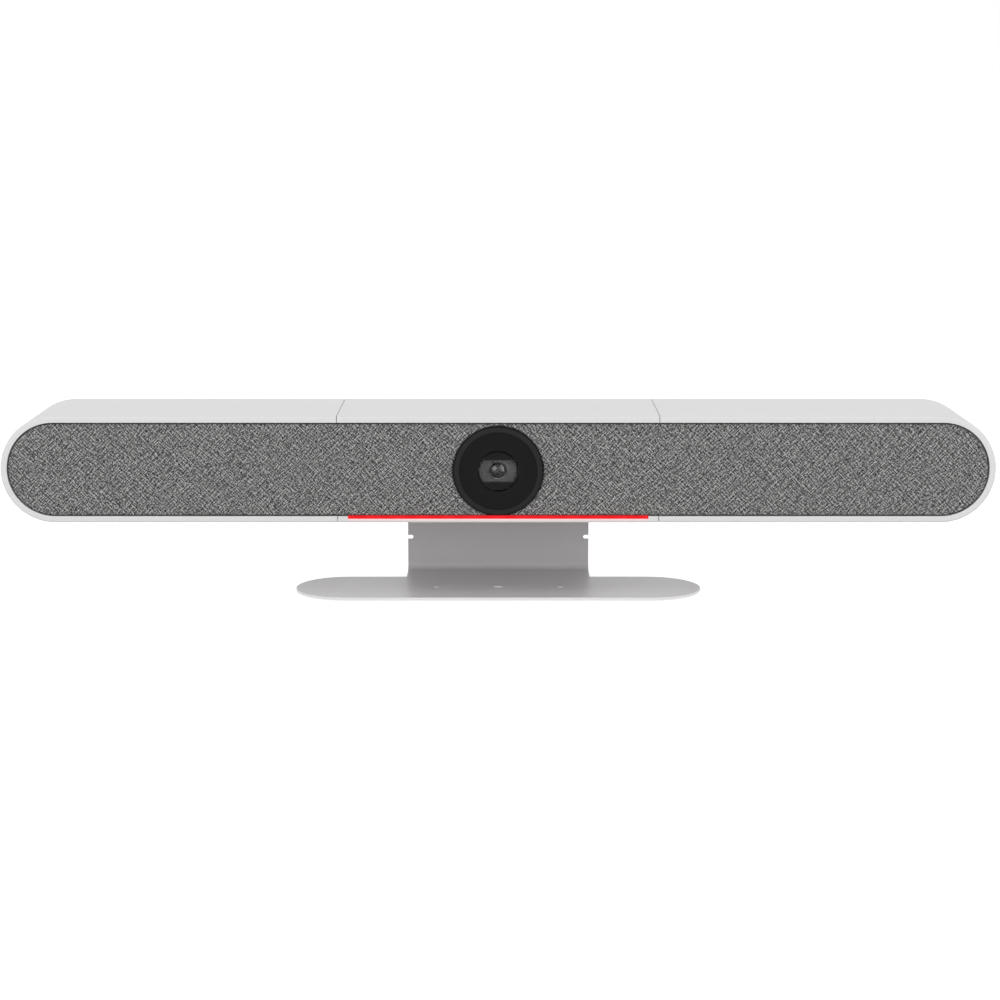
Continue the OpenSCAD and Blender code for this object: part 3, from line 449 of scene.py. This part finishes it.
def ring_black():
    """Satin black ring: a dark flat face and a lighter bevel. A near-black band at the window is
    painted shade of the gap round it, a near-black band at the rim is a painted dark reflection of
    its rounded edge, and between face and bevel the tone dips darker. The tones follow the distance
    from the lens axis."""
    material, tree, shader, place = grained("ring_black", grey(0.008), 0.45, size=0.25 * MM,
                                            depth=0.006 * MM, specular=0.06)
    # From 11.7 mm: painted shade of the gap round the window
    window = ((0, 0.012), (11.5, 0.012), (11.7, 0.002), (12.4, 0.002))
    face = ((12.7, 0.0105), (23.0, 0.0095), (23.4, 0.0065))
    # Its last stop, near black, is a painted dark reflection at the rim
    bevel = ((23.9, 0.024), (26.3, 0.026), (26.8, 0.004))
    tree.links.new(tones_from_lens(tree, place, window + face + bevel),
                   shader.inputs["Base Color"])
    return material


def clear_glass(name, tint, ior, roughness=0.02):
    """Polished glass with a little dust, that lets lamp light through to what lies behind it."""
    material, tree, shader, place = start(name)
    dust = put(tree, "ShaderNodeTexNoise", {"Scale": 900.0, "Detail": 2.0}, {"Vector": place})
    tree.links.new(spread(tree, dust.outputs[0], roughness, roughness + 0.04, 0.5, 0.75),
                   shader.inputs["Roughness"])
    shader.inputs["Base Color"].default_value = (*tint, 1)
    shader.inputs["Transmission Weight"].default_value = 1.0
    shader.inputs["IOR"].default_value = ior
    rays = put(tree, "ShaderNodeLightPath")
    through = put(tree, "ShaderNodeBsdfTransparent", {"Color": (*tint, 1)})
    mixed = put(tree, "ShaderNodeMixShader", links={
        0: rays.outputs["Is Shadow Ray"], 1: shader.outputs[0], 2: through.outputs[0]})
    tree.links.new(mixed.outputs[0], tree.nodes["Material Output"].inputs["Surface"])
    return material


def coated_element():
    """Lens element: nearly black from outside, polished, with faint rings and a darker centre that
    are painted reflections from inside the lens.
    """
    material, tree, shader, place = start("coated_element")
    painted_inner_reflections = ((0, 0.001), (1.3, 0.001), (1.6, 0.005), (2.2, 0.002), (3.4, 0.003), (3.9, 0.008),
               (4.3, 0.002))
    tree.links.new(tones_from_lens(tree, place, painted_inner_reflections), shader.inputs["Base Color"])
    shader.inputs["Specular IOR Level"].default_value = 0.3
    shader.inputs["Roughness"].default_value = 0.07
    return material


def barrel_face():
    """Grey anodised lens barrel with fine turned rings round the lens axis, so many to each radius
    of the lens ring."""
    rings_per_radius = 24
    material, tree, shader, place = grained("barrel_face", grey(0.05), 0.45, size=0.15 * MM,
                                            depth=0.004 * MM, specular=0.08)
    rings = math_node(tree, "SINE", math_node(tree, "MULTIPLY", from_lens(tree, place),
                                              2 * math.pi * rings_per_radius))
    tree.links.new(mix_colours(tree, spread(tree, rings, 0.0, 1.0, -1.0, 1.0),
                               grey(0.019), grey(0.027)), shader.inputs["Base Color"])
    bump(tree, rings, shader, 0.03 * MM, 0.5)
    return material


def red_light():
    """Frosted red diffuser, lit along its length, with as many slight ripples as there are light
    chips behind it."""
    chips = 12
    material, tree, shader, place = start("red_light")
    turns = 2 * math.pi * chips / (light_high[0] - light_low[0])
    wave = math_node(tree, "COSINE",
                     math_node(tree, "MULTIPLY", axes_of(tree, place)["X"], turns))
    tree.links.new(mix_colours(tree, spread(tree, wave, 0.0, 1.0, -1.0, 1.0),
                               (0.8, 0.008, 0.01), (0.88, 0.014, 0.018)),
                   shader.inputs["Emission Color"])
    shader.inputs["Emission Strength"].default_value = 1.0
    shader.inputs["Base Color"].default_value = (0.06, 0.003, 0.004, 1)
    shader.inputs["Specular IOR Level"].default_value = 0.1
    shader.inputs["Roughness"].default_value = 0.5
    return material


def stand_paint():
    """Silver-grey powder coat with its fine orange-peel texture, with a painted highlight: paler on
    the base plate's upright edges, standing in for the front light on them."""
    steepest_flat, edge_height, painted_edge_highlight = 0.55, 1.7 * MM, (0.86, 0.85, 0.852)
    material, tree, shader, place = grained("stand_paint", (0.545, 0.528, 0.532), 0.34,
                                            size=0.9 * MM, depth=0.01 * MM, tint=0.02, wear=0.0)
    coat = shader.inputs["Base Color"].links[0].from_socket
    # Painted highlight: upright faces low on the base plate are paler
    facing = axes_of(tree, put(tree, "ShaderNodeNewGeometry").outputs["Normal"])
    upright = math_node(tree, "LESS_THAN", math_node(tree, "ABSOLUTE", facing["Z"]),
                        steepest_flat)
    low = math_node(tree, "LESS_THAN", axes_of(tree, place)["Z"], plate_bottom + edge_height)
    painted_edge_shade_and_light = math_node(tree, "MULTIPLY", upright, low)
    tree.links.new(mix_colours(tree, painted_edge_shade_and_light, coat, painted_edge_highlight), shader.inputs["Base Color"])
    return material


def board_mask():
    """Green solder mask over copper tracks: the tracks are the borders of a square-cornered cell
    pattern."""
    material, tree, shader, place = start("board_mask")
    cells = put(tree, "ShaderNodeTexVoronoi", {"Scale": 210.0, "Randomness": 0.6},
                {"Vector": place}, distance="CHEBYCHEV", feature="F1")
    tracks = spread(tree, cells.outputs["Distance"], 0.0, 1.0, 0.3, 0.34)
    tree.links.new(mix_colours(tree, tracks, (0.012, 0.075, 0.03), (0.02, 0.13, 0.05)),
                   shader.inputs["Base Color"])
    shader.inputs["Roughness"].default_value = 0.35
    bump(tree, tracks, shader, 0.03 * MM, 0.6)
    return material


# One finish for each material slot of the record
FINISHES = {
    "shell": shell_white("shell_white"),
    "frame_plastic": plain("frame_plastic", (0.03, 0.03, 0.031), 0.6),
    "cloth": heathered_cloth(),
    "steel": plain("zinc_steel", (0.4, 0.4, 0.41), 0.32, metallic=1.0, size=0.5 * MM,
                   depth=0.01 * MM),
    "ring_black": ring_black(),
    "cover_glass": clear_glass("cover_glass", grey(0.955), ior=1.15),
    "lens_glass": coated_element(),
    "black_plastic": plain("black_plastic", (0.014, 0.014, 0.015), 0.5),
    "chip": plain("chip_resin", (0.02, 0.021, 0.023), 0.55, size=0.2 * MM),
    "board": board_mask(),
    "ribbon": plain("ribbon_film", (0.5, 0.27, 0.04), 0.35, size=1.2 * MM),
    "light": red_light(),
    "light_chip": plain("light_chip", (0.75, 0.7, 0.4), 0.25),
    "rubber": plain("soft_rubber", (0.022, 0.022, 0.023), 0.8, size=0.6 * MM, depth=0.04 * MM),
    "magnet": plain("magnet_steel", (0.16, 0.16, 0.17), 0.45, metallic=1.0),
    "cone": plain("cone_pulp", (0.045, 0.047, 0.05), 0.7, size=0.5 * MM, depth=0.05 * MM),
    "spider": plain("spider_cloth", (0.42, 0.26, 0.09), 0.85, size=0.4 * MM, depth=0.06 * MM),
    "socket_metal": plain("nickel_plate", (0.6, 0.6, 0.61), 0.3, metallic=1.0, size=0.4 * MM,
                          depth=0.006 * MM),
    "sink": plain("sink_aluminium", (0.55, 0.55, 0.56), 0.4, metallic=1.0, size=0.8 * MM,
                  depth=0.01 * MM),
    "button": plain("button_grey", (0.1, 0.1, 0.105), 0.4),
    "stand_paint": stand_paint(),
    "stand_screw": plain("dark_zinc", (0.25, 0.25, 0.26), 0.4, metallic=1.0),
}

# Nodes whose finish isn't their slot's own
SPECIAL = {"center_shell": shell_white("shell_white_painted_glow", lit=True), "lens_barrel": barrel_face()}


# CAD nodes keep their shape and get a finish, welded and shaded smooth over their curves

def make_smoother():
    """Geometry nodes that merge a node's loose triangles and shade it smooth, with edges over 30
    degrees kept sharp."""
    group = bpy.data.node_groups.new("smooth_by_angle", "GeometryNodeTree")
    for direction in ("INPUT", "OUTPUT"):
        group.interface.new_socket("Geometry", in_out=direction,
                                   socket_type="NodeSocketGeometry")
    source, result = group.nodes.new("NodeGroupInput"), group.nodes.new("NodeGroupOutput")
    weld = put(group, "GeometryNodeMergeByDistance", {"Distance": 0.002 * MM},
               {"Geometry": source.outputs[0]})
    faces = put(group, "GeometryNodeSetShadeSmooth", {"Shade Smooth": True},
                {"Geometry": weld.outputs[0]})
    angle = put(group, "GeometryNodeInputMeshEdgeAngle")
    flat = put(group, "FunctionNodeCompare", {"B": math.radians(30)},
               {"A": angle.outputs["Unsigned Angle"]}, operation="LESS_THAN")
    edges = put(group, "GeometryNodeSetShadeSmooth",
                links={"Geometry": faces.outputs[0], "Shade Smooth": flat.outputs[0]},
                domain="EDGE")
    group.links.new(edges.outputs[0], result.inputs[0])
    return group


def round_edges(node):
    """Rounds a sheet's edges. Its flat triangles are merged first, because their long thin ones
    would show as lines."""
    merged = node.modifiers.new("merged_flats", "DECIMATE")
    merged.decimate_type = "DISSOLVE"
    merged.angle_limit = math.radians(1)
    rounded = node.modifiers.new("rounded_edges", "BEVEL")
    rounded.width = 0.25 * MM
    rounded.segments = 2
    rounded.limit_method = "ANGLE"
    rounded.angle_limit = math.radians(40)
    rounded.harden_normals = True


smoother = make_smoother()
slots = {part["node"]: part["material_slot"] for part in frame["record"]["subparts"]}
for name, node in nodes.items():
    node.data.materials.clear()
    node.data.materials.append(SPECIAL.get(name, FINISHES[slots[name]]))
    node.modifiers.new("smooth", "NODES").node_group = smoother
round_edges(nodes["stand_bracket"])


# Pieces made here

cloth = speaker_cloth()
cloth.data.materials.append(FINISHES["cloth"])
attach(cloth, "housing")
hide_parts("grille_cloth")


# Floor, light and camera

def seen_directly(tree):
    """1 for what the camera sees, directly, in a reflection or through glass, and 0 for light."""
    rays = put(tree, "ShaderNodeLightPath").outputs
    return math_node(tree, "MAXIMUM", rays["Is Camera Ray"], math_node(
        tree, "MAXIMUM", rays["Is Glossy Ray"], rays["Is Transmission Ray"]))


def floor_material():
    """White floor that takes the object's shadow. Seen by the camera or in a reflection it also
    glows a little, so that where no shadow falls it is plain white."""
    floor_glow = 0.75
    material, tree, shader, _ = start("studio_floor")
    shader.inputs["Base Color"].default_value = (0.8, 0.8, 0.8, 1)
    shader.inputs["Roughness"].default_value = 0.9
    shader.inputs["Specular IOR Level"].default_value = 0.0
    strength = math_node(tree, "MULTIPLY", seen_directly(tree), floor_glow)
    glow = put(tree, "ShaderNodeEmission", {"Color": (1, 1, 1, 1)}, {"Strength": strength})
    total = put(tree, "ShaderNodeAddShader", links={0: shader.outputs[0], 1: glow.outputs[0]})
    tree.links.new(total.outputs[0], tree.nodes["Material Output"].inputs["Surface"])
    return material


def stage():
    """Floor disc far wider than the view, just under the feet: rings of points round the origin,
    from a tiny one to one of 30 m."""
    under_feet, per_ring = -0.02 * MM, 64
    angle = np.linspace(0, 2 * math.pi, per_ring + 1)[:-1]
    radius = np.array([0.0001, 0.5, 2, 8, 30])[:, None]
    rings = np.stack([radius * np.cos(angle), radius * np.sin(angle),
                      np.full((len(radius), per_ring), under_feet)], axis=-1)
    floor = ringed_surface("studio_floor", rings)
    floor.data.materials.append(floor_material())


def world():
    """Even white surround: it lights the object at a plain level and is full white to the
    camera."""
    level = 0.47
    sky = bpy.data.worlds.new("studio")
    bpy.context.scene.world = sky
    sky.use_nodes = True
    back = sky.node_tree.nodes["Background"]
    back.inputs["Color"].default_value = (1, 1, 1, 1)
    strength = math_node(sky.node_tree, "MULTIPLY_ADD", seen_directly(sky.node_tree), 1 - level,
                         level)
    sky.node_tree.links.new(strength, back.inputs["Strength"])


def softbox(name, place, target, size, power, diffuse=True, glossy=True, lit=None):
    """Rectangular area light aimed at a point. It can be left out of reflections, or show in them
    alone, and it can light some pieces alone."""
    data = bpy.data.lights.new(name, "AREA")
    data.shape = "RECTANGLE"
    data.size, data.size_y = size
    data.energy = power
    lamp = bpy.data.objects.new(name, data)
    lamp.location = place
    away = np.array(target) - np.array(place)
    away = away / np.linalg.norm(away)
    lamp.rotation_euler = (math.acos(-away[2]), 0, math.atan2(away[1], away[0]) - math.pi / 2)
    lamp.visible_diffuse = diffuse
    lamp.visible_glossy = glossy
    lamp.visible_camera = False
    if lit is not None:
        only = bpy.data.collections.new(name + "_lights")
        for piece in lit:
            only.objects.link(piece)
        lamp.light_linking.receiver_collection = only
    bpy.context.scene.collection.objects.link(lamp)


def lamps():
    """Soft light from above, in front and behind, a tall strip and a box for the shell's glints at
    each side, and a small box at each side that makes the two glints in the lens."""
    softbox("top_softbox", (0, -0.5, 1.7), (0, 0, 0.08), (1.8, 1.0), 3)
    softbox("front_fill", (0, -1.8, 0.45), (0, 0, 0.03), (1.6, 0.6), 7.6, glossy=False)
    softbox("rear_fill", (0, 2.0, 0.9), (0, 0, 0.06), (1.6, 0.8), 9, glossy=False)
    lens = (0, FRONT_Y, LENS_Z)
    lens_glass = [nodes["front_element"], nodes["cover_glass"]]
    for side, name in ((-1, "left"), (1, "right")):
        softbox(name + "_strip", (side * 1.34, -0.73, 1.1), (0, 0, 0.3), (0.25, 2.0), 6,
                glossy=False)
        softbox(name + "_glint_box", (side * 1.1, -0.62, 0.72), (0, 0, 0.08), (1.0, 1.35), 3,
                diffuse=False)
        softbox(name + "_lens_box", (side * 0.205, -0.187, 0.156), lens, (0.27, 0.3), 2.1,
                diffuse=False, lit=lens_glass)


def camera():
    """Camera of the photograph: straight in front, tilted down, a long lens on a square frame."""
    aside, ahead, above, tilt = 1.1 * MM, 1403.6 * MM, 225.0 * MM, 9.8403
    data = bpy.data.cameras.new("photo_camera")
    data.lens, data.sensor_width = 85, 36
    data.clip_end = 100
    view = bpy.data.objects.new("photo_camera", data)
    view.location = (aside, FRONT_Y - ahead, AXIS_Z + above)
    view.rotation_euler = (math.radians(90 - tilt), 0, 0)
    bpy.context.scene.collection.objects.link(view)
    bpy.context.scene.camera = view


stage()
world()
lamps()
camera()
bpy.context.scene.view_settings.view_transform = "Standard"
